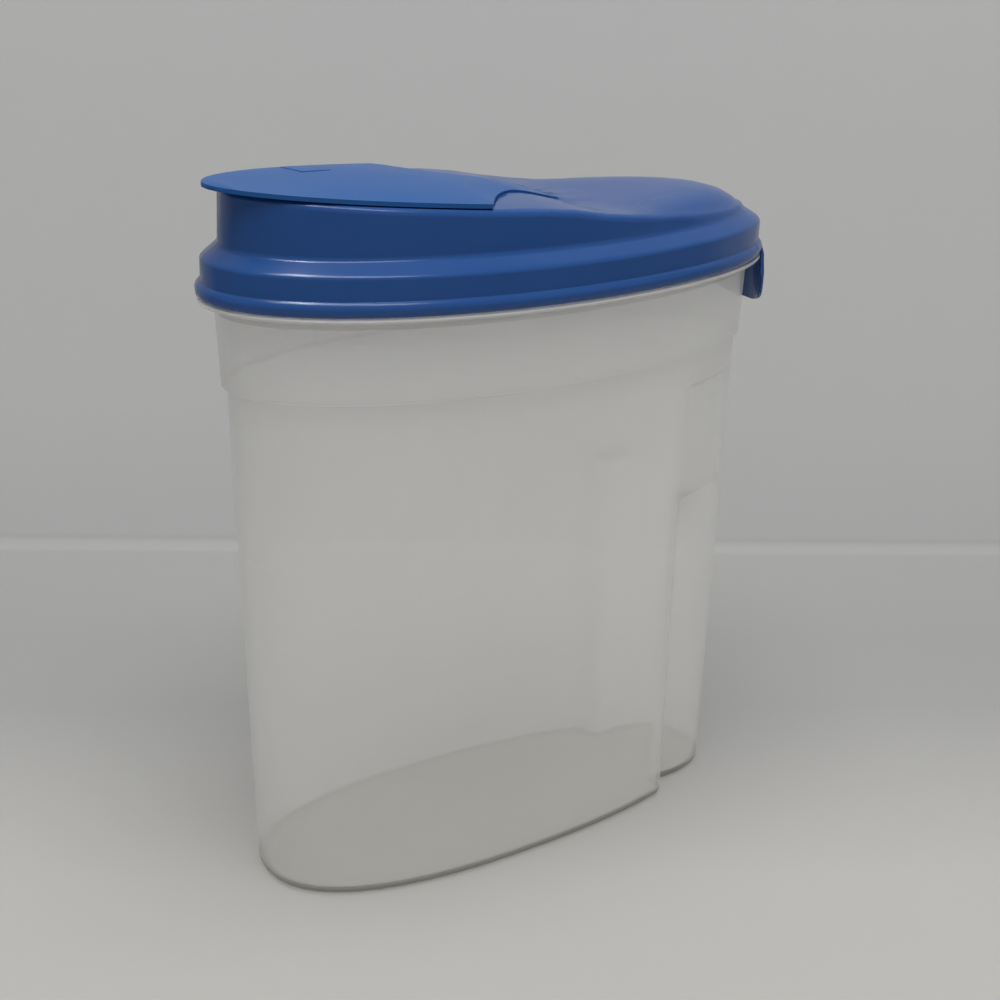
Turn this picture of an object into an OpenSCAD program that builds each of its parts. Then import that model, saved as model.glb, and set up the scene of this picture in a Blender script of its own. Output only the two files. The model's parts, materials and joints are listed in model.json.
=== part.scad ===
/* [Tub] */
// Length of the tub over its wall, just under the flange
rim_length = 258.6; // [230:1:300]
// Width of the tub over its wall, just under the flange
rim_width = 105.8; // [100:1:124]
// Length of the tub over its wall at the base
base_length = 239.7; // [215:1:250]
// Width of the tub over its wall at the base
base_width = 89.4; // [84:1:98]
// How far the middle of the base lies behind the middle of the rim
base_setback = 6.4; // [0:0.1:8]
// Height of the flange's top face, on which the lid rests
tub_height = 262.4; // [235:0.2:290]
// Thickness of the tub's walls
tub_wall = 1.5; // [1.2:0.1:2]
// Thickness of the tub's floor
floor_thickness = 2; // [1.5:0.1:3]
// Radius of the rounding round the foot
foot_radius = 4; // [2.5:0.5:6]
// How much narrower the plan gets towards the rear, as a share of its width
egg_taper = 0.1; // [0:0.01:0.12]
// Squareness of the base's oval, 2 being an ellipse
base_squareness = 2.33; // [2:0.02:2.6]
// Squareness of the rim's oval
rim_squareness = 2.01; // [2:0.01:2.4]

/* [Band and flange] */
// Height of the proud band under the flange
band_height = 35; // [28:0.2:44]
// How far the band stands out from the wall below it
band_step = 2.2; // [1.5:0.1:3.5]
// How far the band widens from its foot to the flange
band_flare = 1.4; // [0.5:0.1:2.5]
// How far the flange reaches out from the wall
flange_reach = 6.6; // [5.6:0.1:8]
// Thickness of the flange
flange_thickness = 1.8; // [1.4:0.1:2.4]
// Height of the neck above the flange
neck_height = 7.5; // [6:0.5:9]

/* [Grip recesses] */
// Depth of the finger recess in each side
grip_depth = 9.5; // [6:0.5:11]
// Length of the recess at the base
grip_length_base = 38; // [32:1:44]
// Length of the recess at the band
grip_length_top = 46; // [40:1:52]
// Distance from the rear end of the tub to the recess
grip_from_rear = 7.5; // [6:0.5:12]
// Height of the ledge where the recess becomes shallow
grip_ledge_height = 155.4; // [120:0.2:170]
// Depth of the shallow part above the ledge
grip_shallow_depth = 2.2; // [1.2:0.1:3]
// Distance from the band down to the top of the shallow part
grip_top_margin = 13; // [8:1:20]

/* [Lid] */
// Thickness of the lid's walls
lid_wall = 1.6; // [1.3:0.1:2]
// Gap between the seated lid and the tub
lid_clearance = 0.35; // [0.3:0.05:0.6]
// Height of the rolled bead along the lid's lower edge
bead_height = 6.4; // [5:0.1:8]
// How far the bead stands out from the skirt above it
bead_proud = 2.2; // [1.5:0.1:3]
// Height of the skirt, bead included
skirt_height = 15.8; // [13:0.1:18]
// Height of the sloping shoulder above the skirt
shoulder_height = 4.2; // [3:0.1:7]
// How far the crown's wall lies inside the tub's wall line
crown_inset = 2; // [1.9:0.1:3]
// How much further in the crown's wall lies at its two ends
crown_end_inset = 1; // [0:0.1:2]
// How far the middle of the crown lies in front of the middle of the rim
crown_advance = 1.1; // [0:0.1:1.6]
// Height of the deck's edge above the flange, at mid length
deck_height = 35.2; // [32:0.1:42]
// Fall of the deck towards the rear, per millimetre of length
deck_fall = 0.06; // [0.05:0.001:0.09]
// Extra fall of the deck's edge behind the hinge
rear_drop = 5; // [4:0.2:8]
// Height of the deck beside the cap above the line of the cap's seat
deck_rise = 1.4; // [1.2:0.1:2.4]
// Height of the rear deck's flat top above the flange
plateau_height = 32.3; // [30:0.1:36]
// How far the deck and the tongue dip towards the hinge
hinge_dip = 3.6; // [2.4:0.1:4]
// Depth of the valley behind the hinge, below the rear deck's flat top
valley_depth = 2.7; // [1:0.1:4]
// Radius of the rounding between the crown's wall and the deck
deck_edge_radius = 3; // [2:0.5:5]

/* [Pour opening] */
// Length of the pour opening
opening_length = 66; // [50:1:72]
// Width of the pour opening
opening_width = 58; // [44:1:64]
// Distance from the crown's front end to the opening
opening_from_front = 15; // [12:0.5:18]

/* [Flip cap] */
// Thickness of the cap
cap_thickness = 1.7; // [1.4:0.1:2]
// Gap under the cap's edge
cap_gap = 0.3; // [0.3:0.05:0.5]
// Height that the cap's dome adds to its edge
cap_dome = 3.5; // [3:0.1:7]
// Distance from the hinge forward to the highest part of the dome
dome_from_hinge = 69; // [60:1:76]
// Length of the thumb lip, the flat tip in front of the dome
lip_length = 9; // [4:0.5:14]
// How far the thumb lip reaches past the crown's front end
lip_reach = 7.2; // [6:0.5:12]
// Squareness of the leaf's outline, lower being more pointed
leaf_squareness = 1.8; // [1.6:0.02:2]
// Distance from the hinge forward to the cap's rear corners
corner_from_hinge = 50; // [44:1:56]
// Distance from the hinge forward to the root of the tongue
tongue_length = 20; // [16:1:28]
// Width of the tongue that carries the hinge
tongue_width = 34; // [30:1:44]
// Gap along the cap's rear edges and beside the tongue
seam_gap = 0.5; // [0.4:0.05:0.8]
// Depth of the plug ring under the cap
plug_depth = 7; // [5:0.5:8]
// Thickness of the plug ring
plug_wall = 1.4; // [1:0.1:2]
// Gap between the plug ring and the pour opening
plug_clearance = 0.8; // [0.7:0.05:1.2]

/* [Hinge] */
// Distance from mid length back to the hinge axis
hinge_x = 12; // [8:0.5:16]
// Diameter of the hinge barrel
barrel_diameter = 7.2; // [6:0.2:8]
// Diameter of the two hinge pins
pin_diameter = 4; // [3:0.1:4.6]
// Length of each hinge pin
pin_length = 3; // [2:0.1:3.4]
// Radial clearance of the pins in their bores
pin_clearance = 0.05; // [0.02:0.01:0.1]
// Gap between the barrel and its trough
trough_gap = 0.8; // [0.6:0.05:1.1]
// Thickness of the plastic round the pins' bores
ear_thickness = 4; // [3.6:0.1:5]

/* [Pull tab] */
// Width of the pull tab at the rear, along the bead
tab_width = 42; // [34:1:50]
// Drop of the pull tab below the bead
tab_drop = 25.4; // [24:0.2:32]
// Thickness of the pull tab
tab_thickness = 1.6; // [1.4:0.1:2.5]
// How far the tab leans out at its lower edge
tab_flare = 1; // [0:0.1:2]
// Radius of the tab's lower corners
tab_corner = 17; // [8:1:17]

/* [Hidden] */

// Half sizes of the plan along X and Y, at the rim, under the band and at the base
rim_half = [rim_length / 2, rim_width / 2];
step_half = rim_half - [1, 1] * (band_step + band_flare);
base_half = [base_length / 2, base_width / 2];

// Heights on the tub
flange_z = tub_height - flange_thickness;
step_z = flange_z - band_height;
rim_z = tub_height + neck_height;
grip_top_z = step_z - grip_top_margin;
ledge_rise = 0.8;
step_rise = 1.2;
flange_round = 0.6;
fade_height = 2;

// Shape of the recess along X: steepest at the front, deepest at this share of its length
grip_peak = 0.22;
grip_falloff = 1.5;
shallow_edge = 0.15;
deep_shares = [0.3, 0.6, 0.85, 1];

// Angles round the plan, closer together where the recess bends
half_angles = [0, each [6 : 6 : 18], each [20 : 3 : 41], each [43 : 1.8 : 57.4], each [61 : 7 : 173]];
mirrored_angles = [for (i = [len(half_angles) - 1 : -1 : 1]) -half_angles[i]];
plan_angles = [each half_angles, 180, each mirrored_angles];
opening_angles = [0 : 6 : 354];

// Heights and offsets on the lid, offsets being measured outwards from the tub's wall line
lid_foot_z = tub_height + lid_clearance;
shoulder_z = lid_foot_z + skirt_height;
crown_foot_z = shoulder_z + shoulder_height;
bead_overhang = 0.6;
bead_fullness = 0.7;
bead_slope = 1.8;
skirt_out = flange_reach + bead_overhang - bead_proud;
shoulder_round = 1.6;
crown_draft = 0.4;
crown_out = -crown_inset - crown_draft;
crown_half = rim_half + [crown_out - crown_end_inset, crown_out];
plug_ring_out = -tub_wall - lid_clearance;
deck_half = crown_half - [1, 1] * deck_edge_radius;

// Run of the deck from front to rear: dip before the hinge, valley behind it, fall of its edges
dip_lead = 22;
dip_length = 30;
dip_start_x = hinge_x - dip_lead;
valley_lag = 8;
valley_length = 80;
valley_x = hinge_x + valley_lag;
drop_start_x = -3;
drop_length = 28;
deck_shares = [0.97, 0.92, 0.85, 0.74, 0.6, 0.44, 0.28, 0.14, 0.03];
under_shares = [0.94, 0.82, 0.6, 0.35, 0.15, 0.03];
front_flatness = 2.5;
rear_flatness = 10;
flatness_length = 40;

// Hinge axis and the places along the cap
corner_x = hinge_x - corner_from_hinge;
neck_x = hinge_x - tongue_length;
barrel_radius = barrel_diameter / 2;
trough_chamfer = 1.4 * barrel_radius;
hinge_z = seat_z(hinge_x) + cap_gap + cap_thickness - barrel_radius;
cap_side_inset = 0.8;
cap_half_length = crown_half[0] + lip_reach;
cap_half_width = crown_half[1] - cap_side_inset;
dome_x = hinge_x - dome_from_hinge;
dome_front_reach = dome_x + cap_half_length + crown_advance - lip_length;
dome_rear_reach = dome_from_hinge + barrel_diameter;
cap_shares = [for (s = [-90 : 18 : 90]) sin(s)];
lip_angles = [4, each [9 : 5.5 : 70]];
opening_half = [opening_length / 2, opening_width / 2];
opening_x = opening_from_front + opening_half[0] - crown_half[0] - crown_advance;
opening_squareness = 2.6;

function mix(a, b, share) = a + (b - a) * share;
function smooth(share) = let (s = max(0, min(1, share))) s * s * (3 - 2 * s);
function signed_power(v, p) = sign(v) * pow(abs(v), p);

// Point at angle t of an egg-shaped oval with half sizes half
function oval(t, half, squareness, taper = egg_taper) =
    let (x = half[0] * signed_power(cos(t), 2 / squareness))
    [x, half[1] * signed_power(sin(t), 2 / squareness) * (1 - taper * x / half[0])];

// Outward direction of the same oval
function oval_normal(t, half, squareness) =
    let (v = [half[1] * signed_power(cos(t), 2 - 2 / squareness),
              half[0] * signed_power(sin(t), 2 - 2 / squareness)])
    v / norm(v);

// Half size and squareness of the tub's wall at height z, below the band or on it
function wall_half(z) = mix(base_half, step_half, z / step_z);
function band_half(z) = rim_half - [1, 1] * band_flare * max(0, (flange_z - z) / band_height);
function wall_squareness(z) = mix(base_squareness, rim_squareness, min(1, z / step_z));
function wall_shift(z) = base_setback * max(0, 1 - z / flange_z);

// Inward push of the deep recess and of the shallow one at x
function deep_push(x, front, rear) =
    let (u = (x - front) / (rear - front))
    u <= 0 || u >= 1 ? 0
    : grip_depth * (u < grip_peak ? smooth(u / grip_peak) : pow((1 - u) / (1 - grip_peak), grip_falloff));
function shallow_push(x, front, rear) =
    let (u = (x - front) / (rear - front))
    grip_shallow_depth * smooth(u / shallow_edge) * smooth((1 - u) / shallow_edge);

// Ring of the tub's wall at height z, moved outwards by grow, with shares of both recesses
function wall_ring(z, grow, deep = 0, shallow = 0) =
    let (half = wall_half(z) + [grow, grow], n = wall_squareness(z), shift = wall_shift(z),
         rear = wall_half(z)[0] + shift - grip_from_rear,
         front = rear - mix(grip_length_base, grip_length_top, z / step_z) + min(0, grow))
    [for (t = plan_angles)
        let (p = oval(t, half, n) + [shift, 0],
             push = deep * deep_push(p[0], front, rear) + shallow * shallow_push(p[0], front, rear),
             q = p - push * oval_normal(t, half, n))
        [q[0], q[1], z]];
function band_ring(z, grow) =
    [for (t = plan_angles)
        let (p = oval(t, band_half(z) + [grow, grow], rim_squareness)) [p[0] + wall_shift(z), p[1], z]];

// Height of the cap's seat, the sloping plane that the cap's edge lies on
function line_z(x) = tub_height + deck_height - deck_fall * x;
function seat_z(x) = line_z(x) - hinge_dip * smooth((x - dip_start_x) / dip_length);
function edge_z(x) = line_z(x) - edge_drop(x);
function wall_height(x) = edge_z(x) - crown_foot_z;
function edge_drop(x) = rear_drop * (1 - exp(-max(0, x - drop_start_x) / drop_length));
function deck_top(x) =
    mix(seat_z(x) + deck_rise,
        tub_height + plateau_height - valley_depth * (1 - smooth((x - valley_x) / valley_length)),
        smooth((x - hinge_x) / (valley_x - hinge_x)));
function deck_z(x, y) =
    let (u = (x + crown_advance) / deck_half[0],
         r = min(1, norm([u, y / deck_half[1] / (1 - egg_taper * u)])),
         flatness = mix(front_flatness, rear_flatness, smooth((x - valley_x) / flatness_length)))
    mix(edge_z(x), deck_top(x), 1 - pow(r, flatness));

// Rings of the lid at offset out from the rim's line or the crown's, round the deck's edge and inside it
function lid_ring(out, z) =
    [for (t = plan_angles) let (p = oval(t, rim_half + [out, out], rim_squareness)) [p[0], p[1], z]];
function crown_ring(out, rise) =
    [for (t = plan_angles)
        let (p = oval(t, crown_half + [out, out], rim_squareness) - [crown_advance, 0])
        [p[0], p[1], crown_foot_z + min(rise, wall_height(p[0]) / 4)]];
function edge_ring(out, share, drop = 0) =
    [for (p = crown_ring(out, 0))
        let (x = p[0]) [x, p[1], edge_z(x) - drop - share * min(deck_edge_radius, 0.7 * wall_height(x))]];
function deck_ring(share, drop) =
    [for (t = plan_angles)
        let (p = share * oval(t, deck_half, rim_squareness) - [crown_advance, 0])
        [p[0], p[1], deck_z(p[0], p[1]) - drop]];

// Half width of the cap at x: leaf, slanted rear edges and tongue
function leaf_half(x) =
    let (u = min(1, abs(x + crown_advance) / cap_half_length),
         narrowing = 1 - egg_taper * x / cap_half_length)
    cap_half_width * narrowing * pow(1 - pow(u, leaf_squareness), 1 / leaf_squareness);
function cap_half(x) =
    x <= corner_x ? leaf_half(x)
    : x < neck_x ? mix(tongue_width / 2, leaf_half(corner_x), pow((neck_x - x) / (neck_x - corner_x), 1.5))
    : tongue_width / 2;
// Top of the cap at x, at share v of its half width
function cap_top(x, v) =
    let (away = x < dome_x ? (dome_x - x) / dome_front_reach : (x - dome_x) / dome_rear_reach,
         bell = away < 1 ? pow(cos(90 * away), 2) : 0)
    seat_z(x) + cap_gap + cap_thickness + cap_dome * bell * (1 - v * v);

// Closed skin over a stack of rings, with a fan at each end
module loft(rings) {
    n = len(rings[0]);
    m = len(rings);
    first = [for (i = [0 : 2]) mean([for (p = rings[0]) p[i]])];
    last = [for (i = [0 : 2]) mean([for (p = rings[m - 1]) p[i]])];
    sides = [for (i = [0 : m - 2], j = [0 : n - 1])
        let (k = (j + 1) % n) [i * n + j, (i + 1) * n + j, (i + 1) * n + k, i * n + k]];
    triangles = [for (s = sides) each [[s[0], s[1], s[2]], [s[0], s[2], s[3]]]];
    foot = [for (j = [0 : n - 1]) [n * m, j, (j + 1) % n]];
    head = [for (j = [0 : n - 1]) [n * m + 1, (m - 1) * n + (j + 1) % n, (m - 1) * n + j]];
    polyhedron([for (r = rings) each r, first, last], [each triangles, each foot, each head], convexity = 8);
}
function mean(v) = v * [for (i = v) 1] / len(v);

// Oval ring round the pour opening, moved inwards by inset, at dz from the seat
function opening_ring(inset, dz) =
    [for (t = opening_angles)
        let (p = oval(t, opening_half - [inset, inset], opening_squareness, 0) + [opening_x, 0])
        [p[0], p[1], seat_z(p[0]) + dz]];

module tub() {
    foot = [for (a = [0 : 30 : 90]) wall_ring(foot_radius * (1 - cos(a)), foot_radius * (sin(a) - 1), 1)];
    deep = [for (s = deep_shares) wall_ring(grip_ledge_height * s, 0, 1)];
    shallow = [for (s = [0, 1])
        wall_ring(mix(grip_ledge_height + ledge_rise, grip_top_z - 2 * fade_height, s), 0, 0, 1)];
    fade = [wall_ring(grip_top_z - fade_height, 0, 0, 0.5), wall_ring(grip_top_z, 0), wall_ring(step_z, 0)];
    band = [band_ring(step_z + step_rise, 0), band_ring(flange_z, 0)];
    flange = [
        band_ring(flange_z, flange_reach - flange_round),
        band_ring(flange_z + flange_round, flange_reach),
        band_ring(tub_height - flange_round, flange_reach),
        band_ring(tub_height, flange_reach - flange_round)];
    neck = [
        band_ring(tub_height, 0),
        band_ring(rim_z - flange_round, 0),
        band_ring(rim_z, -tub_wall / 3),
        band_ring(rim_z, -tub_wall * 2 / 3),
        band_ring(rim_z - flange_round, -tub_wall)];
    inner_top = [
        band_ring(flange_z, -tub_wall),
        band_ring(step_z + step_rise + tub_wall, -tub_wall),
        wall_ring(step_z + tub_wall, -tub_wall),
        wall_ring(grip_top_z + tub_wall, -tub_wall),
        wall_ring(grip_top_z - fade_height + tub_wall, -tub_wall, 0, 0.5)];
    inner_shallow = [for (s = [1, 0])
        wall_ring(mix(grip_ledge_height + ledge_rise + tub_wall, grip_top_z - 2 * fade_height, s),
            -tub_wall, 0, 1)];
    inner_deep = [for (i = [len(deep_shares) - 1 : -1 : 0])
        wall_ring((grip_ledge_height + tub_wall) * deep_shares[i], -tub_wall, 1)];
    inner_radius = foot_radius - tub_wall;
    inner_foot = [for (a = [90 : -45 : 0])
        wall_ring(floor_thickness + inner_radius * (1 - cos(a)), inner_radius * (sin(a) - 1) - tub_wall, 1)];
    color([0.9, 0.9, 0.88, 0.55])
        loft([each foot, each deep, each shallow, each fade, each band, each flange, each neck,
            each inner_top, each inner_shallow, each inner_deep, each inner_foot]);
}

// The lid's outer form, closed below
module lid_body() {
    bead = [for (a = [-90 : 30 : 90])
        lid_ring(skirt_out + bead_proud * pow(cos(a), a < 0 ? bead_fullness : bead_slope),
            lid_foot_z + bead_height * (1 + sin(a)) / 2)];
    shoulder = [
        lid_ring(skirt_out, shoulder_z - shoulder_round),
        lid_ring(skirt_out - shoulder_round / 3, shoulder_z - shoulder_round / 4),
        lid_ring(skirt_out - shoulder_round, shoulder_z + shoulder_round / 4),
        crown_ring(crown_draft + shoulder_round, -shoulder_round / 3),
        crown_ring(crown_draft + shoulder_round / 3, 0),
        crown_ring(crown_draft, shoulder_round)];
    edge = [for (a = [0 : 30 : 90]) edge_ring(-deck_edge_radius * (1 - cos(a)), 1 - sin(a))];
    deck = [for (s = deck_shares) deck_ring(s, 0)];
    loft([each bead, each shoulder, each edge, each deck]);
}

// The space inside the plug ring and the crown, open below
module lid_cavity() {
    inner_radius = max(0.8, deck_edge_radius - lid_wall);
    walls = [for (z = [lid_foot_z - 1, shoulder_z - shoulder_round]) lid_ring(-crown_inset - lid_wall, z)];
    edge = [for (a = [0 : 45 : 90])
        edge_ring(-lid_wall - inner_radius * (1 - cos(a)), 0, lid_wall + inner_radius * (1 - sin(a)))];
    deck = [for (s = under_shares) deck_ring(s, lid_wall)];
    difference() {
        loft([each walls, each edge, each deck]);
        cap_pocket(lid_wall);
        hinge_block();
    }
}

// The groove that takes the tub's neck, between the skirt and the plug ring
module neck_groove() {
    difference() {
        loft([
            lid_ring(skirt_out - lid_wall, lid_foot_z - 1),
            lid_ring(skirt_out - lid_wall, shoulder_z - lid_wall),
            lid_ring(plug_ring_out, crown_foot_z - 2 * lid_wall)]);
        loft([lid_ring(plug_ring_out, lid_foot_z - 2), lid_ring(plug_ring_out, crown_foot_z)]);
    }
}

// The space above the cap's seat, in front of the seam and over the tongue, grown by grow
module cap_pocket(grow = 0) {
    reach = rim_length;
    seam = [for (s = [0 : 0.125 : 1]) mix(corner_x, neck_x, s)];
    right = [
        [-reach, -reach],
        [corner_x + seam_gap + grow, -reach],
        for (x = seam) [x + seam_gap + grow, -cap_half(x) - seam_gap - grow],
        [hinge_x + grow, -tongue_width / 2 - seam_gap - grow]];
    left = [for (i = [len(right) - 1 : -1 : 0]) [right[i][0], -right[i][1]]];
    outline = [each right, each left];
    loft([for (dz = [-grow, deck_height]) [for (p = outline) [p[0], p[1], seat_z(p[0]) + dz]]]);
}

// Solid plastic round the hinge, under the deck
module hinge_block() {
    width = tongue_width + 2 * (seam_gap + ear_thickness);
    radius = barrel_radius + trough_gap + lid_wall;
    translate([hinge_x, width / 2, hinge_z])
        rotate([90, 0, 0])
            cylinder(h = width, r = radius, $fn = 48);
    translate([hinge_x - radius, -width / 2, hinge_z])
        cube([2 * radius, width, deck_height / 2]);
}

// The trough that the barrel turns in, with a valley behind it
module hinge_trough() {
    width = tongue_width + 2 * seam_gap;
    radius = barrel_radius + trough_gap;
    translate([hinge_x, width / 2, hinge_z])
        rotate([90, 0, 0])
            cylinder(h = width, r = radius, $fn = 48);
    translate([hinge_x, -width / 2, hinge_z])
        cube([radius, width, deck_height / 2]);
    translate([hinge_x + radius, 0, hinge_z + barrel_radius])
        rotate([0, 45, 0])
            cube([trough_chamfer, width, trough_chamfer], center = true);
}

module pull_tab() {
    inner = flange_reach + lid_clearance;
    span = asin(pow(tab_width / 2 / (rim_half[1] + inner) / (1 - egg_taper), rim_squareness / 2));
    steps = 20;
    function drop(y) =
        let (over = max(0, abs(y) - (tab_width / 2 - tab_corner)))
        tab_drop - tab_corner + sqrt(max(0.01, tab_corner * tab_corner - over * over));
    columns = [for (i = [0 : steps])
        let (t = -span * cos(180 * i / steps),
             a = oval(t, rim_half + [inner, inner], rim_squareness),
             b = oval(t, rim_half + [1, 1] * (inner + tab_thickness), rim_squareness),
             c = oval(t, rim_half + [1, 1] * (inner + tab_flare), rim_squareness),
             d = oval(t, rim_half + [1, 1] * (inner + tab_flare + tab_thickness), rim_squareness),
             low = lid_foot_z - drop(a[1]), high = lid_foot_z + bead_height * 0.6)
        [[c[0], c[1], low], [d[0], d[1], low], [b[0], b[1], lid_foot_z], [a[0], a[1], high]]];
    n = 4;
    sides = [for (i = [0 : steps - 1], j = [0 : n - 1])
        let (k = (j + 1) % n) [i * n + j, (i + 1) * n + j, (i + 1) * n + k, i * n + k]];
    triangles = [for (s = sides) each [[s[0], s[2], s[1]], [s[0], s[3], s[2]]]];
    polyhedron([for (c = columns) each c],
        [each triangles, [2, 1, 0], [3, 2, 0],
         [steps * n, steps * n + 1, steps * n + 2], [steps * n, steps * n + 2, steps * n + 3]]);
}

module lid_shell() {
    difference() {
        union() {
            lid_body();
            pull_tab();
        }
        lid_cavity();
        neck_groove();
        cap_pocket();
        hinge_trough();
        loft([opening_ring(0, -deck_height / 3), opening_ring(0, deck_height / 3)]);
    }
}

module hinge_pins(radius, length) {
    for (side = [-1, 1])
        translate([hinge_x, side * (tongue_width / 2 - 1), hinge_z])
            rotate([-90 * side, 0, 0])
                cylinder(h = length + 1, r = radius, $fn = 48);
}

module lid() {
    color([0.20, 0.36, 0.66])
        difference() {
            resize([0, 0, 0]) lid_shell();
            hinge_pins(pin_diameter / 2 + pin_clearance, seam_gap + pin_length + 0.4);
        }
}

// The cap's domed sheet, as rows of points across it from the lip to the hinge
module cap_sheet() {
    lip = [for (a = lip_angles) -crown_advance - cap_half_length * cos(a)];
    places = [each [for (x = lip) if (x < corner_x - 2) x], corner_x,
        each [for (s = [0.125 : 0.125 : 1]) mix(corner_x, neck_x, s)],
        each [for (s = [0.25 : 0.25 : 1]) mix(neck_x, hinge_x, s)]];
    rows = [for (x = places)
        let (w = cap_half(x),
             top = [for (v = cap_shares) [x, v * w, cap_top(x, v)]],
             under = [for (v = cap_shares) [x, -v * w, cap_top(x, v) - cap_thickness]])
        [each top, each under]];
    loft_along(rows);
}

// Closed skin over rows that follow one another along X
module loft_along(rows) {
    n = len(rows[0]);
    m = len(rows);
    half = n / 2;
    sides = [for (i = [0 : m - 2], j = [0 : n - 1])
        let (k = (j + 1) % n) [i * n + j, (i + 1) * n + j, (i + 1) * n + k, i * n + k]];
    triangles = [for (s = sides) each [[s[0], s[2], s[1]], [s[0], s[3], s[2]]]];
    front = [for (j = [0 : half - 2]) each [[j, n - 2 - j, j + 1], [j, n - 1 - j, n - 2 - j]]];
    back = [for (f = front) [for (i = [2 : -1 : 0]) f[i] + (m - 1) * n]];
    polyhedron([for (r = rows) each r], [each triangles, each front, each back], convexity = 6);
}

// Ring that plugs the pour opening
module cap_plug() {
    difference() {
        loft([
            opening_ring(plug_clearance + 0.4, -plug_depth),
            opening_ring(plug_clearance, -plug_depth / 2),
            opening_ring(plug_clearance, cap_gap + cap_thickness + cap_dome)]);
        loft([
            opening_ring(plug_clearance + plug_wall, -plug_depth - 1),
            opening_ring(plug_clearance + plug_wall, deck_height)]);
        above_cap();
    }
}

// Everything above the middle of the cap's sheet
module above_cap() {
    rows = [for (share = [-1 : 0.2 : 1])
        let (x = opening_x + share * (opening_half[0] + plug_wall),
             w = cap_half(x),
             top = [for (v = cap_shares) [x, v * w, tub_height + 2 * deck_height]],
             under = [for (v = cap_shares) [x, -v * w, cap_top(x, v) - cap_thickness / 2]])
        [each top, each under]];
    loft_along(rows);
}

module cap_shell() {
    cap_sheet();
    cap_plug();
    translate([hinge_x, tongue_width / 2, hinge_z])
        rotate([90, 0, 0])
            cylinder(h = tongue_width, r = barrel_radius, $fn = 48);
}

module flip_cap() {
    color([0.33, 0.47, 0.74]) {
        resize([0, 0, 0]) cap_shell();
        hinge_pins(pin_diameter / 2, pin_length);
    }
}

tub();
lid();
flip_cap();
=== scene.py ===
"""Dry-food keeper: a milky tub, a press-on lid and a leaf-shaped flip cap, dressed over their frame."""

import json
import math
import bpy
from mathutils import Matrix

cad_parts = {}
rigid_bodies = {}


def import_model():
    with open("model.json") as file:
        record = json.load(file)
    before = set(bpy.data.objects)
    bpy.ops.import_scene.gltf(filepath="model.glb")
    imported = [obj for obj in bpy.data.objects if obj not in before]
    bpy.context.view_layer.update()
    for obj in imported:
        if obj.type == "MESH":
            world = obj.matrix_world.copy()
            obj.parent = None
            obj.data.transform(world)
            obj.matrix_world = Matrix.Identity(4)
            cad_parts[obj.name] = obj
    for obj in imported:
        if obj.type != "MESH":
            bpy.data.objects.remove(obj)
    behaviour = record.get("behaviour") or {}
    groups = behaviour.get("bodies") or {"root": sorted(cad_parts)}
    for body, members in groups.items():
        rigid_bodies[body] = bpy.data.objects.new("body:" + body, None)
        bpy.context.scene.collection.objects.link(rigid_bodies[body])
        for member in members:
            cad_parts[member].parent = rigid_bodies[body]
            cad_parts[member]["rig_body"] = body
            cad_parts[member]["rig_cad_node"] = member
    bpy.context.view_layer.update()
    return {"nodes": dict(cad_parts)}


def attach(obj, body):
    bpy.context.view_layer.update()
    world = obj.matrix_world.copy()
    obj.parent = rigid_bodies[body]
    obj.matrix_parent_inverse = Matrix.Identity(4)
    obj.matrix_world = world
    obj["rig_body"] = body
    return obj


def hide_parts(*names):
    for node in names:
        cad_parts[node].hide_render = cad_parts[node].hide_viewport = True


bl_info = {
    "name": "Dry-food Keeper",
    "version": (1, 0, 0),
    "blender": (4, 5, 0),
    "location": "View3D > Sidebar > Keeper",
    "description": "Builds the plastics and moulded details of a dry-food keeper with a flip cap",
    "category": "Add Mesh",
}

import bpy
from bpy.props import FloatProperty, FloatVectorProperty, PointerProperty
from mathutils import Matrix, Vector

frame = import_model()

FLOOR_WIDTH = 16.0
FLOOR_DEPTH = 10.0
BACKDROP_HEIGHT = 3.0
FOLD_SEGMENTS = 8
ROOM_COLOR = (0.98, 0.99, 1.0)
SENSOR_WIDTH = 36.0

# Where the lamps point, and the place and width of each; the strip lamp is narrower one way
LAMP_AIM = Vector((0, 0, 0.2))
ABOVE_LAMP = ((-0.22, -0.5, 2.3), 1.6)
GLINT_LAMP = ((-0.62, -0.32, 1.9), 0.3)
STRIP_LAMP = ((-0.45, -0.62, 1.9), 1.6)
STRIP_DEPTH = 0.25

# The plain pad on the cap: a point above its middle, its half width and half length, its rows of faces
PAD_PLACE = (-0.0805, 0.0245, 0.32)
PAD_HALF = (0.0063, 0.0098)
PAD_ROWS = (12, 20)

# Heights on the tub: its flange's top face and the step under its band
FLANGE_Z = 0.2624
STEP_Z = 0.2266

# Bands of height on the tub: lowest, highest, fade beyond both, share of painted shade, least density
# The foot, floor and neck bands darken the tub as painted shade: the contact shadow round the foot and on the
# floor, and the flange's shadow below it
FOOT_BAND = (-0.001, 0.0036, 0.0015, 1.0, 0.7)
FLOOR_BAND = (-0.001, 0.0034, 0.0012, 1.0, 0.85)
NECK_BAND = (FLANGE_Z - 0.0054, FLANGE_Z - 0.0022, 0.0003, 0.6, 0.5)
FLANGE_BAND = (FLANGE_Z - 0.0016, FLANGE_Z, 0.0003, 0.0, 0.5)
STEP_BAND = (STEP_Z - 0.0003, STEP_Z + 0.0003, 0.0004, 0.0, 0.38)

# Optics of the plastics: refraction, then the fall-off and the rise of the tub's density where seen on edge
TUB_IOR = 1.49
BLUE_IOR = 1.5
EDGE_BLEND = 0.3
EDGE_GAIN = 1.9

# Darkest and lightest share of a plastic's colour
TUB_TONES = (0.97, 1.03)
BLUE_TONES = (0.93, 1.08)

# Depth and strength of the moulded grain and the colour of the dust
GRAIN_DEPTH = 0.00005
TUB_GRAIN = 0.1
BLUE_GRAIN = 0.12
DUST_COLOR = (0.5, 0.52, 0.56)

# Surface of the paper
PAPER_ROUGHNESS = 0.9
PAPER_GLOSS = 0.2

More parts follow.
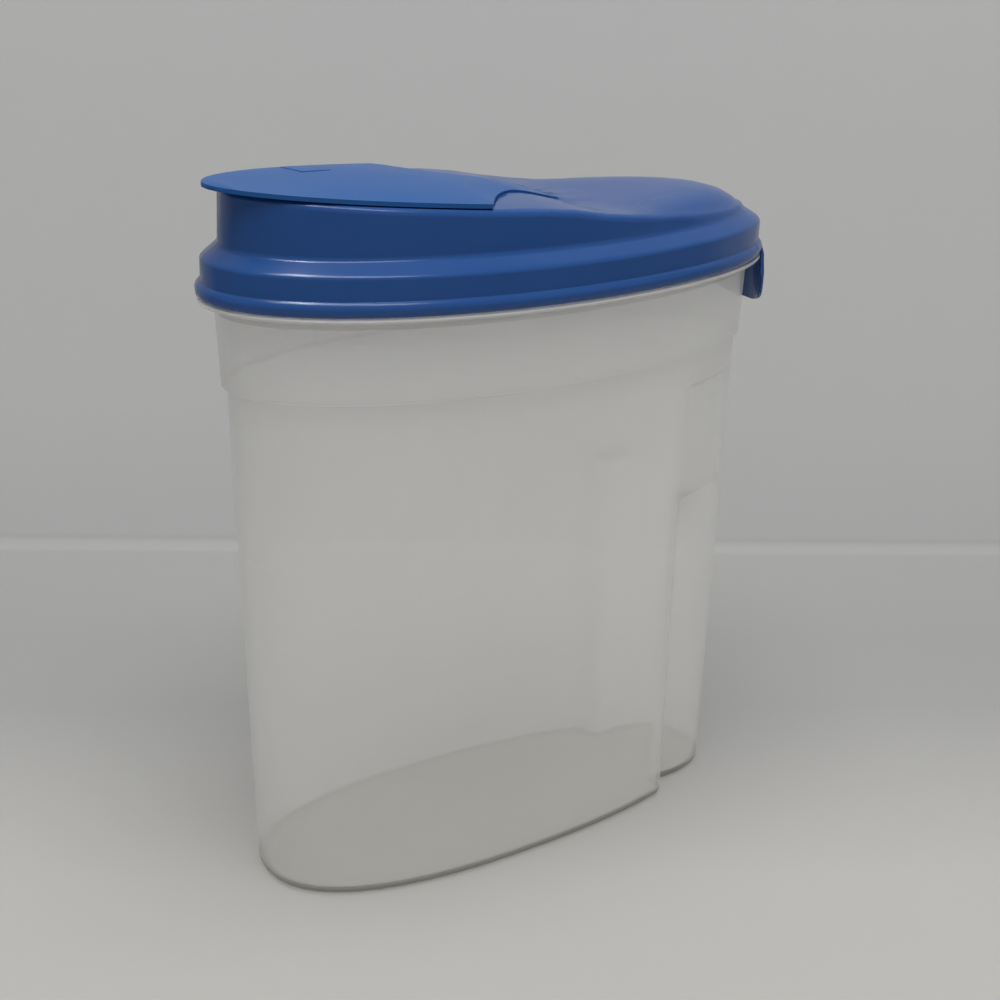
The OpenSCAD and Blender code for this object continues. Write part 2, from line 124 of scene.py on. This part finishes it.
# Angles above which an edge is bevelled and a bevelled piece stays creased
BEVEL_ANGLE = math.radians(60)
BEVEL_CREASE = math.radians(40)

# Places along the paper, from front to back and then up, with a colour and its shade at each; the floor's
# fall from light in front to dark at the backdrop's foot is painted light and shade
PAPER_STOPS = ((-0.06, "floor", 0.97), (0.1, "far", 0.92), (0.18, "far", 0.92), (0.306, "far", 1.0),
               (0.315, "far", 1.2), (0.323, "wall", 0.97), (0.42, "wall", 1.0), (0.6, "wall", 0.95))
REAR_STOPS = ((0.3, "far", 1.0), (4.0, "floor", 1.0))


# ---------------------------------------------------------------- settings

class KeeperSizes(bpy.types.PropertyGroup):
    """Sizes of the moulded details"""

    weld: FloatProperty(
        name="Weld distance", description="Corners closer than this are made one",
        default=0.00002, unit="LENGTH")
    edge_round: FloatProperty(
        name="Edge rounding", description="Width of the rounding on the cap's sharp edges",
        default=0.0005, unit="LENGTH")
    pad_rise: FloatProperty(
        name="Pad rise", description="How far the plain pad stands out from the cap",
        default=0.0003, unit="LENGTH")
    crease: FloatProperty(
        name="Crease angle", description="Faces that meet at more than this stay sharp",
        default=math.radians(32), subtype="ANGLE")


class KeeperFinishes(bpy.types.PropertyGroup):
    """Colours and surface values of the plastics"""

    tub_color: FloatVectorProperty(
        name="Tub colour", description="Colour of the milky polypropylene",
        default=(0.96, 0.952, 0.93), subtype="COLOR", size=3, min=0, max=1)
    # Painted shade: the tub is darkened towards this colour round its foot, on its floor and under its
    # flange, where shadow falls
    painted_shade_color: FloatVectorProperty(
        name="Foot colour", description="Colour of the thicker plastic round the tub's foot",
        default=(0.34, 0.32, 0.265), subtype="COLOR", size=3, min=0, max=1)
    tub_density: FloatProperty(
        name="Tub density", description="How much one surface of the tub's wall hides of what lies behind it",
        default=0.29, min=0, max=1)
    tub_scatter: FloatProperty(
        name="Tub scatter",
        description="Share of its density with which the tub's wall holds back stray light",
        default=0.3, min=0, max=1)
    lid_color: FloatVectorProperty(
        name="Lid colour", description="Colour of the lid's blue plastic",
        default=(0.013, 0.07, 0.255), subtype="COLOR", size=3, min=0, max=1)
    cap_color: FloatVectorProperty(
        name="Cap colour", description="Colour of the flip cap's blue plastic",
        default=(0.018, 0.094, 0.3), subtype="COLOR", size=3, min=0, max=1)
    tub_roughness: FloatProperty(
        name="Tub roughness", description="Satin of the tub's moulded surface",
        default=0.3, min=0, max=1)
    lid_roughness: FloatProperty(
        name="Lid roughness", description="Satin of the lid's moulded surface",
        default=0.21, min=0, max=1)
    cap_roughness: FloatProperty(
        name="Cap roughness", description="Satin of the flip cap's moulded surface",
        default=0.34, min=0, max=1)
    lid_gloss: FloatProperty(
        name="Lid gloss", description="Strength of the lid's reflections", default=0.38, min=0, max=1)
    cap_gloss: FloatProperty(
        name="Cap gloss", description="Strength of the flip cap's reflections",
        default=0.12, min=0, max=1)


class KeeperStage(bpy.types.PropertyGroup):
    """Floor, backdrop, lamps and camera"""

    # The front and far floor colours paint the light's fall-off: lighter in front of the keeper, painted
    # shade along the foot of the backdrop
    floor_color: FloatVectorProperty(
        name="Floor colour", description="Colour of the pale floor in front of the keeper",
        default=(0.5, 0.49, 0.47), subtype="COLOR", size=3, min=0, max=1)
    far_floor_shade_color: FloatVectorProperty(
        name="Far floor colour", description="Colour of the floor along the foot of the backdrop",
        default=(0.4, 0.398, 0.39), subtype="COLOR", size=3, min=0, max=1)
    wall_color: FloatVectorProperty(
        name="Backdrop colour", description="Colour of the pale backdrop",
        default=(0.67, 0.67, 0.667), subtype="COLOR", size=3, min=0, max=1)
    fold_turn: FloatProperty(
        name="Fold turn", description="Turn of the floor and of the fold behind it",
        default=math.radians(-28.74), subtype="ANGLE")
    fold_place: FloatProperty(
        name="Fold place", description="How far behind the keeper the paper folds up",
        default=0.313, unit="LENGTH")
    fold_width: FloatProperty(
        name="Fold width", description="Width of the soft bend between floor and backdrop",
        default=0.008, unit="LENGTH")
    ambient: FloatProperty(
        name="Room light", description="Strength of the light from all round",
        default=0.25, min=0, max=1)
    background: FloatProperty(
        name="Background", description="Brightness of the room where it is seen beyond the paper",
        default=0.4, min=0, max=1)
    above_power: FloatProperty(
        name="Upper lamp", description="Power of the soft lamp above in watts", default=45.0, min=0)
    glint_power: FloatProperty(
        name="Glint lamp", description="Power of the lamp that gives the edges their glints, in watts",
        default=6.0, min=0)
    strip_power: FloatProperty(
        name="Strip lamp",
        description="Power of the long lamp that draws a soft line along the lid, in watts",
        default=12.0, min=0)
    lens: FloatProperty(
        name="Lens", description="Focal length of the camera in millimetres",
        default=57.03, min=10, max=200)
    aim: FloatVectorProperty(
        name="Aim", description="Point that the camera looks at", default=(0.0031522, 0.0, 0.1577353),
        subtype="TRANSLATION", size=3)
    distance: FloatProperty(
        name="Distance", description="How far the camera stands from its aim",
        default=0.708691, unit="LENGTH")
    azimuth: FloatProperty(
        name="Azimuth", description="Turn of the camera round the keeper",
        default=math.radians(-34.0319), subtype="ANGLE")
    elevation: FloatProperty(
        name="Elevation", description="Height of the camera above the horizon",
        default=math.radians(21.3271), subtype="ANGLE")
    roll: FloatProperty(
        name="Roll", description="Tilt of the camera about its own line of sight",
        default=math.radians(2.4056), subtype="ANGLE")


# ---------------------------------------------------------------- helpers for modelling

def deselect():
    """Leaves edit mode and selects nothing."""
    if bpy.context.object and bpy.context.object.mode != "OBJECT":
        bpy.ops.object.mode_set(mode="OBJECT")
    bpy.ops.object.select_all(action="DESELECT")


def pick(piece):
    """Makes piece the only selected and the active object."""
    deselect()
    piece.select_set(True)
    bpy.context.view_layer.objects.active = piece


def seat(piece):
    """Puts the piece's place, turn and size into its mesh."""
    pick(piece)
    bpy.ops.object.transform_apply(location=True, rotation=True, scale=True)


def copy_of_node(node, name, weld, crease):
    """A welded, smoothly shaded piece with the shape of a node."""
    pick(frame["nodes"][node])
    bpy.ops.object.duplicate()
    piece = bpy.context.object
    piece.name = name
    piece.data.name = name
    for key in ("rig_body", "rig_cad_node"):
        del piece[key]
    piece.parent = None
    piece.data.materials.clear()
    bpy.ops.object.mode_set(mode="EDIT")
    bpy.ops.mesh.select_all(action="SELECT")
    bpy.ops.mesh.remove_doubles(threshold=weld)
    bpy.ops.object.mode_set(mode="OBJECT")
    bpy.ops.object.shade_smooth_by_angle(angle=crease)
    weigh_normals(piece)
    return piece


def weigh_normals(piece):
    """Lets the large faces set the shading, so that they look flat."""
    pick(piece)
    weighted = piece.modifiers.new("Weighted normals", "WEIGHTED_NORMAL")
    weighted.keep_sharp = True
    bpy.ops.object.modifier_apply(modifier=weighted.name)


def soften_edges(piece, width):
    """Rounds the piece's sharp edges with a small bevel."""
    pick(piece)
    bevel = piece.modifiers.new("Soft edges", "BEVEL")
    bevel.width = width
    bevel.segments = 2
    bevel.limit_method = "ANGLE"
    bevel.angle_limit = BEVEL_ANGLE
    bevel.use_clamp_overlap = True
    bpy.ops.object.modifier_apply(modifier=bevel.name)
    bpy.ops.object.shade_smooth_by_angle(angle=BEVEL_CREASE)


def lay_pad(cap, sizes):
    """A plain raised pad that follows the cap's dome, half sunk in it."""
    deselect()
    bpy.ops.mesh.primitive_grid_add(x_subdivisions=PAD_ROWS[0], y_subdivisions=PAD_ROWS[1], size=2.0,
                                    location=PAD_PLACE)
    pad = bpy.context.object
    pad.name = "cap_pad"
    pad.scale = (*PAD_HALF, 1.0)
    seat(pad)
    laid = pad.modifiers.new("Lie on the cap", "SHRINKWRAP")
    laid.target = cap
    laid.wrap_method = "PROJECT"
    laid.use_project_z = True
    laid.use_positive_direction = False
    laid.use_negative_direction = True
    bpy.ops.object.modifier_apply(modifier=laid.name)
    thick = pad.modifiers.new("Thickness", "SOLIDIFY")
    thick.thickness = 2 * sizes.pad_rise
    thick.offset = 0.0
    bpy.ops.object.modifier_apply(modifier=thick.name)
    soften_edges(pad, sizes.pad_rise / 2)
    return pad


def finish_piece(piece, body, material, node=None):
    """Gives the piece its material, its body and the slot of its finish."""
    piece.data.materials.clear()
    piece.data.materials.append(material)
    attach(piece, body)
    if node:
        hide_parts(node)
    deselect()


# ---------------------------------------------------------------- shader groups

def new_group(name, inputs, outputs):
    """An empty shader group with the named sockets."""
    group = bpy.data.node_groups.new(name, "ShaderNodeTree")
    for label, kind, default in inputs:
        socket = group.interface.new_socket(name=label, in_out="INPUT", socket_type="NodeSocket" + kind)
        if default is not None:
            socket.default_value = default
    for label, kind in outputs:
        group.interface.new_socket(name=label, in_out="OUTPUT", socket_type="NodeSocket" + kind)
    source = group.nodes.new("NodeGroupInput")
    sink = group.nodes.new("NodeGroupOutput")
    return group, source, sink


def satin_group():
    """Fine moulded grain with a slow change of gloss, as on satin polypropylene."""
    group, source, sink = new_group(
        "Moulded satin",
        [("Vector", "Vector", None), ("Roughness", "Float", 0.4), ("Variation", "Float", 0.08),
         ("Grain scale", "Float", 2600.0), ("Flow scale", "Float", 28.0)],
        [("Roughness", "Float"), ("Height", "Float"), ("Flow", "Float")])
    grain = group.nodes.new("ShaderNodeTexNoise")
    grain.inputs["Detail"].default_value = 2.0
    flow = group.nodes.new("ShaderNodeTexNoise")
    flow.inputs["Detail"].default_value = 3.0
    flow.inputs["Roughness"].default_value = 0.55
    centred = group.nodes.new("ShaderNodeMath")
    centred.operation = "SUBTRACT"
    centred.inputs[1].default_value = 0.5
    swing = group.nodes.new("ShaderNodeMath")
    swing.operation = "MULTIPLY_ADD"
    link = group.links.new
    link(source.outputs["Vector"], grain.inputs["Vector"])
    link(source.outputs["Vector"], flow.inputs["Vector"])
    link(source.outputs["Grain scale"], grain.inputs["Scale"])
    link(source.outputs["Flow scale"], flow.inputs["Scale"])
    link(flow.outputs["Fac"], centred.inputs[0])
    link(centred.outputs[0], swing.inputs[0])
    link(source.outputs["Variation"], swing.inputs[1])
    link(source.outputs["Roughness"], swing.inputs[2])
    link(swing.outputs[0], sink.inputs["Roughness"])
    link(grain.outputs["Fac"], sink.inputs["Height"])
    link(flow.outputs["Fac"], sink.inputs["Flow"])
    return group


def lint_group():
    """Sparse specks of dust and lint, as a mask."""
    group, source, sink = new_group(
        "Dust specks",
        [("Vector", "Vector", None), ("Scale", "Float", 70.0), ("Size", "Float", 0.06),
         ("Share", "Float", 0.05)],
        [("Mask", "Float")])
    cells = group.nodes.new("ShaderNodeTexVoronoi")
    apart = group.nodes.new("ShaderNodeSeparateColor")
    near = group.nodes.new("ShaderNodeMath")
    near.operation = "LESS_THAN"
    chosen = group.nodes.new("ShaderNodeMath")
    chosen.operation = "LESS_THAN"
    both = group.nodes.new("ShaderNodeMath")
    both.operation = "MULTIPLY"
    link = group.links.new
    link(source.outputs["Vector"], cells.inputs["Vector"])
    link(source.outputs["Scale"], cells.inputs["Scale"])
    link(cells.outputs["Distance"], near.inputs[0])
    link(source.outputs["Size"], near.inputs[1])
    link(cells.outputs["Color"], apart.inputs["Color"])
    link(apart.outputs["Red"], chosen.inputs[0])
    link(source.outputs["Share"], chosen.inputs[1])
    link(near.outputs[0], both.inputs[0])
    link(chosen.outputs[0], both.inputs[1])
    link(both.outputs[0], sink.inputs["Mask"])
    return group


def shared_group(name, maker):
    """The named group, built the first time it is asked for."""
    return bpy.data.node_groups.get(name) or maker()


def new_material(name):
    """A material with its nodes, its Principled shader and its object coordinates."""
    material = bpy.data.materials.new(name)
    material.use_nodes = True
    nodes = material.node_tree.nodes
    link = material.node_tree.links.new
    return material, nodes, link, nodes["Principled BSDF"], nodes.new("ShaderNodeTexCoord")


def place_group(nodes, group, **values):
    """A group node in a material with its own values."""
    node = nodes.new("ShaderNodeGroup")
    node.node_tree = group
    for label, value in values.items():
        node.inputs[label.replace("_", " ")].default_value = value
    return node


def blue_plastic(name, color, roughness, gloss):
    """Satin blue polypropylene with a fine grain, soft colour flow and a few specks of dust."""
    material, nodes, link, shader, coords = new_material(name)
    satin = place_group(nodes, shared_group("Moulded satin", satin_group),
                        Roughness=roughness, Variation=0.1, Grain_scale=2400.0, Flow_scale=22.0)
    dust = place_group(nodes, shared_group("Dust specks", lint_group),
                       Scale=160.0, Size=0.05, Share=0.03)
    tone = color_mix(nodes, *tones(color, BLUE_TONES))
    speckled = color_mix(nodes, color, DUST_COLOR)
    bump = grain_bump(nodes, BLUE_GRAIN)
    link(coords.outputs["Object"], satin.inputs["Vector"])
    link(coords.outputs["Object"], dust.inputs["Vector"])
    link(satin.outputs["Flow"], tone.inputs["Factor"])
    link(tone.outputs["Result"], speckled.inputs["A"])
    link(dust.outputs["Mask"], speckled.inputs["Factor"])
    link(speckled.outputs["Result"], shader.inputs["Base Color"])
    link(satin.outputs["Roughness"], shader.inputs["Roughness"])
    link(satin.outputs["Height"], bump.inputs["Height"])
    link(bump.outputs["Normal"], shader.inputs["Normal"])
    shader.inputs["IOR"].default_value = BLUE_IOR
    shader.inputs["Specular IOR Level"].default_value = gloss
    return material


def tones(color, shares):
    """The colour at each share of its brightness."""
    return [[min(1, c * share) for c in color] for share in shares]


def color_mix(nodes, first, second):
    """A node that mixes two colours by its factor."""
    mix = nodes.new("ShaderNodeMix")
    mix.data_type = "RGBA"
    mix.inputs["A"].default_value = (*first, 1)
    mix.inputs["B"].default_value = (*second, 1)
    return mix


def grain_bump(nodes, strength):
    """A bump node for the moulded grain."""
    bump = nodes.new("ShaderNodeBump")
    bump.inputs["Strength"].default_value = strength
    bump.inputs["Distance"].default_value = GRAIN_DEPTH
    return bump


def height_band(nodes, link, height, low, high, fade):
    """A mask that is one between two heights and fades out beyond them."""
    rise = nodes.new("ShaderNodeMapRange")
    rise.inputs["From Min"].default_value = low - fade
    rise.inputs["From Max"].default_value = low
    fall = nodes.new("ShaderNodeMapRange")
    fall.inputs["From Min"].default_value = high + fade
    fall.inputs["From Max"].default_value = high
    link(height, rise.inputs["Value"])
    link(height, fall.inputs["Value"])
    return combine(nodes, link, "MULTIPLY", rise.outputs["Result"], fall.outputs["Result"])


def combine(nodes, link, operation, first, second):
    """Two values, each a socket or a number, put together by a Math node."""
    node = nodes.new("ShaderNodeMath")
    node.operation = operation
    for socket, value in zip(node.inputs, (first, second)):
        if isinstance(value, (int, float)):
            socket.default_value = value
        else:
            link(value, socket)
    return node.outputs[0]


def outer_skin(nodes, link, position):
    """A mask of the tub's outer surface where it is seen from outside."""
    geometry = nodes.new("ShaderNodeNewGeometry")
    flat = nodes.new("ShaderNodeVectorMath")
    flat.operation = "MULTIPLY"
    flat.inputs[1].default_value = (1, 1, 0)
    outwards = nodes.new("ShaderNodeVectorMath")
    outwards.operation = "DOT_PRODUCT"
    link(position, flat.inputs[0])
    link(flat.outputs["Vector"], outwards.inputs[0])
    link(geometry.outputs["Normal"], outwards.inputs[1])
    facing_out = combine(nodes, link, "GREATER_THAN", outwards.outputs["Value"], 0.0)
    front = combine(nodes, link, "SUBTRACT", 1.0, geometry.outputs["Backfacing"])
    return combine(nodes, link, "MULTIPLY", facing_out, front)


def milky_plastic(name, finishes):
    """Natural polypropylene: milky and half clear, denser where it is seen on edge or is thicker, with
    painted shade darkening its foot, its floor and the band under its flange.
    """
    material, nodes, link, shader, coords = new_material(name)
    satin = place_group(nodes, shared_group("Moulded satin", satin_group),
                        Roughness=finishes.tub_roughness, Variation=0.08,
                        Grain_scale=1500.0, Flow_scale=14.0)
    apart = nodes.new("ShaderNodeSeparateXYZ")
    tone = color_mix(nodes, *tones(finishes.tub_color, TUB_TONES))
    painted_shade = color_mix(nodes, finishes.tub_color, finishes.painted_shade_color)
    edge_on = nodes.new("ShaderNodeLayerWeight")
    edge_on.inputs["Blend"].default_value = EDGE_BLEND
    density = nodes.new("ShaderNodeMapRange")
    density.inputs["To Min"].default_value = finishes.tub_density
    density.inputs["To Max"].default_value = min(1, finishes.tub_density * EDGE_GAIN)
    bump = grain_bump(nodes, TUB_GRAIN)
    lights = nodes.new("ShaderNodeLightPath")
    passed = nodes.new("ShaderNodeMapRange")
    passed.inputs["To Min"].default_value = 1.0
    passed.inputs["To Max"].default_value = finishes.tub_scatter
    link(coords.outputs["Object"], satin.inputs["Vector"])
    link(coords.outputs["Object"], apart.inputs["Vector"])
    height = apart.outputs["Z"]
    skin = outer_skin(nodes, link, coords.outputs["Object"])
    dark = 0.0
    seen = density.outputs["Result"]
    # The foot, neck and floor bands paint shade into the colour, and every band also makes the wall denser
    for band in (FOOT_BAND, NECK_BAND, FLANGE_BAND, STEP_BAND, FLOOR_BAND):
        low, high, fade, shade_share, least = band
        mask = height_band(nodes, link, height, low, high, fade)
        if band in (FOOT_BAND, NECK_BAND):
            mask = combine(nodes, link, "MULTIPLY", mask, skin)
        dark = combine(nodes, link, "MAXIMUM", dark, combine(nodes, link, "MULTIPLY", mask, shade_share))
        seen = combine(nodes, link, "MAXIMUM", seen, combine(nodes, link, "MULTIPLY", mask, least))
    link(satin.outputs["Flow"], tone.inputs["Factor"])
    link(tone.outputs["Result"], painted_shade.inputs["A"])
    link(dark, painted_shade.inputs["Factor"])
    link(painted_shade.outputs["Result"], shader.inputs["Base Color"])
    link(edge_on.outputs["Facing"], density.inputs["Value"])
    shadow, diffuse = lights.outputs["Is Shadow Ray"], lights.outputs["Is Diffuse Ray"]
    scattered = combine(nodes, link, "MAXIMUM", shadow, diffuse)
    link(scattered, passed.inputs["Value"])
    link(combine(nodes, link, "MULTIPLY", passed.outputs["Result"], seen), shader.inputs["Alpha"])
    link(satin.outputs["Roughness"], shader.inputs["Roughness"])
    link(satin.outputs["Height"], bump.inputs["Height"])
    link(bump.outputs["Normal"], shader.inputs["Normal"])
    shader.inputs["IOR"].default_value = TUB_IOR
    return material


def pale_paper(name, setup, places):
    """Pale paper that changes its shade at the listed places, with painted light and shade across the floor,
    and is seen from its front side only.
    """
    material, nodes, link, shader, coords = new_material(name)
    shader.inputs["Roughness"].default_value = PAPER_ROUGHNESS
    shader.inputs["Specular IOR Level"].default_value = PAPER_GLOSS
    turned = nodes.new("ShaderNodeMapping")
    turned.inputs["Rotation"].default_value = (0, 0, -setup.fold_turn)
    apart = nodes.new("ShaderNodeSeparateXYZ")
    along = nodes.new("ShaderNodeMath")
    along.operation = "ADD"
    first, last = places[0][0], places[-1][0]
    share = nodes.new("ShaderNodeMapRange")
    share.inputs["From Min"].default_value = first
    share.inputs["From Max"].default_value = last
    ramp = nodes.new("ShaderNodeValToRGB")
    stops = ramp.color_ramp.elements
    colors = {"floor": setup.floor_color, "far": setup.far_floor_shade_color, "wall": setup.wall_color}
    while len(stops) < len(places):
        stops.new(1.0)
    for stop, (place, which, shade) in zip(stops, places):
        stop.position = (place - first) / (last - first)
        stop.color = (*[c * shade for c in colors[which]], 1)
    geometry = nodes.new("ShaderNodeNewGeometry")
    lights = nodes.new("ShaderNodeLightPath")
    behind, camera_ray = geometry.outputs["Backfacing"], lights.outputs["Is Camera Ray"]
    hidden = combine(nodes, link, "MULTIPLY", behind, camera_ray)
    link(combine(nodes, link, "SUBTRACT", 1.0, hidden), shader.inputs["Alpha"])
    link(coords.outputs["Object"], turned.inputs["Vector"])
    link(turned.outputs["Vector"], apart.inputs["Vector"])
    link(apart.outputs["Y"], along.inputs[0])
    link(apart.outputs["Z"], along.inputs[1])
    link(along.outputs[0], share.inputs["Value"])
    link(share.outputs["Result"], ramp.inputs["Fac"])
    link(ramp.outputs["Color"], shader.inputs["Base Color"])
    return material


# ---------------------------------------------------------------- pieces

class KEEPER_OT_tub(bpy.types.Operator):
    """Builds the milky tub"""

    bl_idname = "keeper.tub"
    bl_label = "Tub"

    def execute(self, context):
        sizes, finishes = context.scene.keeper_sizes, context.scene.keeper_finishes
        tub = copy_of_node("tub", "tub_shell", sizes.weld, sizes.crease)
        material = milky_plastic("Milky polypropylene", finishes)
        finish_piece(tub, "tub", material, "tub")
        return {"FINISHED"}


class KEEPER_OT_lid(bpy.types.Operator):
    """Builds the press-on lid"""

    bl_idname = "keeper.lid"
    bl_label = "Lid"

    def execute(self, context):
        sizes, finishes = context.scene.keeper_sizes, context.scene.keeper_finishes
        lid = copy_of_node("lid", "lid_shell", sizes.weld, sizes.crease)
        material = blue_plastic("Blue lid plastic", finishes.lid_color,
                                finishes.lid_roughness, finishes.lid_gloss)
        finish_piece(lid, "lid", material, "lid")
        return {"FINISHED"}


class KEEPER_OT_cap(bpy.types.Operator):
    """Builds the leaf-shaped flip cap"""

    bl_idname = "keeper.cap"
    bl_label = "Flip cap"

    def execute(self, context):
        sizes, finishes = context.scene.keeper_sizes, context.scene.keeper_finishes
        cap = copy_of_node("flip_cap", "cap_leaf", sizes.weld, sizes.crease)
        soften_edges(cap, sizes.edge_round)
        material = blue_plastic("Blue cap plastic", finishes.cap_color,
                                finishes.cap_roughness, finishes.cap_gloss)
        pad = lay_pad(cap, sizes)
        finish_piece(cap, "flip_cap", material, "flip_cap")
        finish_piece(pad, "flip_cap", material)
        return {"FINISHED"}


class KEEPER_OT_stage(bpy.types.Operator):
    """Lays the floor and backdrop, hangs the lamps and sets the camera"""

    bl_idname = "keeper.stage"
    bl_label = "Stage"

    def execute(self, context):
        setup = context.scene.keeper_stage
        self.lay_floor(setup)
        self.hang_lamps(setup)
        self.set_camera(context, setup)
        context.scene.view_settings.view_transform = "Standard"
        return {"FINISHED"}

    def lay_floor(self, setup):
        deselect()
        bpy.ops.mesh.primitive_plane_add(size=2.0, location=(0, 0, 0))
        floor = bpy.context.object
        floor.name = "floor"
        floor.scale = (FLOOR_WIDTH / 2, FLOOR_DEPTH / 2, 1.0)
        floor.rotation_euler = (0, 0, setup.fold_turn)
        far = Vector((-math.sin(setup.fold_turn), math.cos(setup.fold_turn), 0))
        floor.location = far * (setup.fold_place - FLOOR_DEPTH / 2)
        seat(floor)
        bpy.ops.object.mode_set(mode="EDIT")
        bpy.ops.mesh.select_mode(type="EDGE")
        bpy.ops.mesh.select_all(action="DESELECT")
        bpy.ops.object.mode_set(mode="OBJECT")
        for edge in floor.data.edges:
            middle = sum((floor.data.vertices[i].co for i in edge.vertices), Vector()) / 2
            edge.select = middle.dot(far) > setup.fold_place - setup.fold_width
        bpy.ops.object.mode_set(mode="EDIT")
        bpy.ops.mesh.extrude_region_move(TRANSFORM_OT_translate={"value": (0, 0, BACKDROP_HEIGHT)})
        bpy.ops.object.mode_set(mode="OBJECT")
        bend = floor.modifiers.new("Fold", "BEVEL")
        bend.width = setup.fold_width
        bend.segments = FOLD_SEGMENTS
        bpy.ops.object.modifier_apply(modifier=bend.name)
        bpy.ops.object.shade_smooth()
        floor.data.materials.append(pale_paper("Pale paper", setup, PAPER_STOPS))
        middle = far * (setup.fold_place + FLOOR_WIDTH / 2)
        bpy.ops.mesh.primitive_plane_add(size=FLOOR_WIDTH, location=middle)
        rear = bpy.context.object
        rear.name = "rear_floor"
        rear.rotation_euler = (0, 0, setup.fold_turn)
        seat(rear)
        rear.data.materials.append(pale_paper("Rear paper", setup, REAR_STOPS))

    def hang_lamps(self, setup):
        world = bpy.data.worlds.new("Soft room")
        bpy.context.scene.world = world
        world.use_nodes = True
        nodes, link = world.node_tree.nodes, world.node_tree.links.new
        lights = nodes.new("ShaderNodeLightPath")
        seen = lights.outputs["Is Camera Ray"]
        for ray in ("Is Glossy Ray", "Is Transmission Ray"):
            seen = combine(nodes, link, "MAXIMUM", seen, lights.outputs[ray])
        room = color_mix(nodes, *tones(ROOM_COLOR, (setup.ambient, setup.background)))
        link(seen, room.inputs["Factor"])
        link(room.outputs["Result"], nodes["Background"].inputs["Color"])
        above = self.hang_lamp("lamp_above", *ABOVE_LAMP, setup.above_power)
        above.visible_glossy = False
        glint = self.hang_lamp("lamp_glint", *GLINT_LAMP, setup.glint_power)
        glint.visible_diffuse = False
        strip = self.hang_lamp("lamp_strip", *STRIP_LAMP, setup.strip_power)
        strip.visible_diffuse = False
        strip.data.shape = "RECTANGLE"
        strip.data.size_y = STRIP_DEPTH

    def hang_lamp(self, name, place, size, power):
        deselect()
        bpy.ops.object.light_add(type="AREA", location=place)
        lamp = bpy.context.object
        lamp.name = name
        lamp.data.size = size
        lamp.data.energy = power
        lamp.rotation_euler = (LAMP_AIM - lamp.location).to_track_quat("-Z", "Y").to_euler()
        return lamp

    def set_camera(self, context, setup):
        back = Vector((math.sin(setup.azimuth) * math.cos(setup.elevation),
                       -math.cos(setup.azimuth) * math.cos(setup.elevation), math.sin(setup.elevation)))
        right = Vector((math.cos(setup.azimuth), math.sin(setup.azimuth), 0))
        up = back.cross(right)
        side = right * math.cos(setup.roll) + up * math.sin(setup.roll)
        top = up * math.cos(setup.roll) - right * math.sin(setup.roll)
        turn = Matrix((side, top, back)).transposed().to_euler()
        deselect()
        bpy.ops.object.camera_add(location=Vector(setup.aim) + back * setup.distance, rotation=turn)
        camera = bpy.context.object
        camera.data.lens = setup.lens
        camera.data.sensor_width = SENSOR_WIDTH
        context.scene.camera = camera


class KEEPER_PT_panel(bpy.types.Panel):
    """Lists the keeper's settings and builders"""

    bl_idname = "KEEPER_PT_panel"
    bl_label = "Dry-food Keeper"
    bl_space_type = "VIEW_3D"
    bl_region_type = "UI"
    bl_category = "Keeper"

    def draw(self, context):
        layout = self.layout
        scene = context.scene
        for title, settings in (("Sizes", scene.keeper_sizes), ("Finishes", scene.keeper_finishes),
                                ("Stage", scene.keeper_stage)):
            box = layout.box()
            box.label(text=title)
            for key in settings.__annotations__:
                box.prop(settings, key)
        for builder in BUILDERS:
            layout.operator(builder.bl_idname)


SETTINGS = (KeeperSizes, KeeperFinishes, KeeperStage)
BUILDERS = (KEEPER_OT_tub, KEEPER_OT_lid, KEEPER_OT_cap, KEEPER_OT_stage)


def register():
    for cls in (*SETTINGS, *BUILDERS, KEEPER_PT_panel):
        bpy.utils.register_class(cls)
    bpy.types.Scene.keeper_sizes = PointerProperty(type=KeeperSizes)
    bpy.types.Scene.keeper_finishes = PointerProperty(type=KeeperFinishes)
    bpy.types.Scene.keeper_stage = PointerProperty(type=KeeperStage)


def unregister():
    del bpy.types.Scene.keeper_stage
    del bpy.types.Scene.keeper_finishes
    del bpy.types.Scene.keeper_sizes
    for cls in reversed((*SETTINGS, *BUILDERS, KEEPER_PT_panel)):
        bpy.utils.unregister_class(cls)


def main():
    register()
    bpy.ops.keeper.tub()
    bpy.ops.keeper.lid()
    bpy.ops.keeper.cap()
    bpy.ops.keeper.stage()


if __name__ == "__main__":
    main()
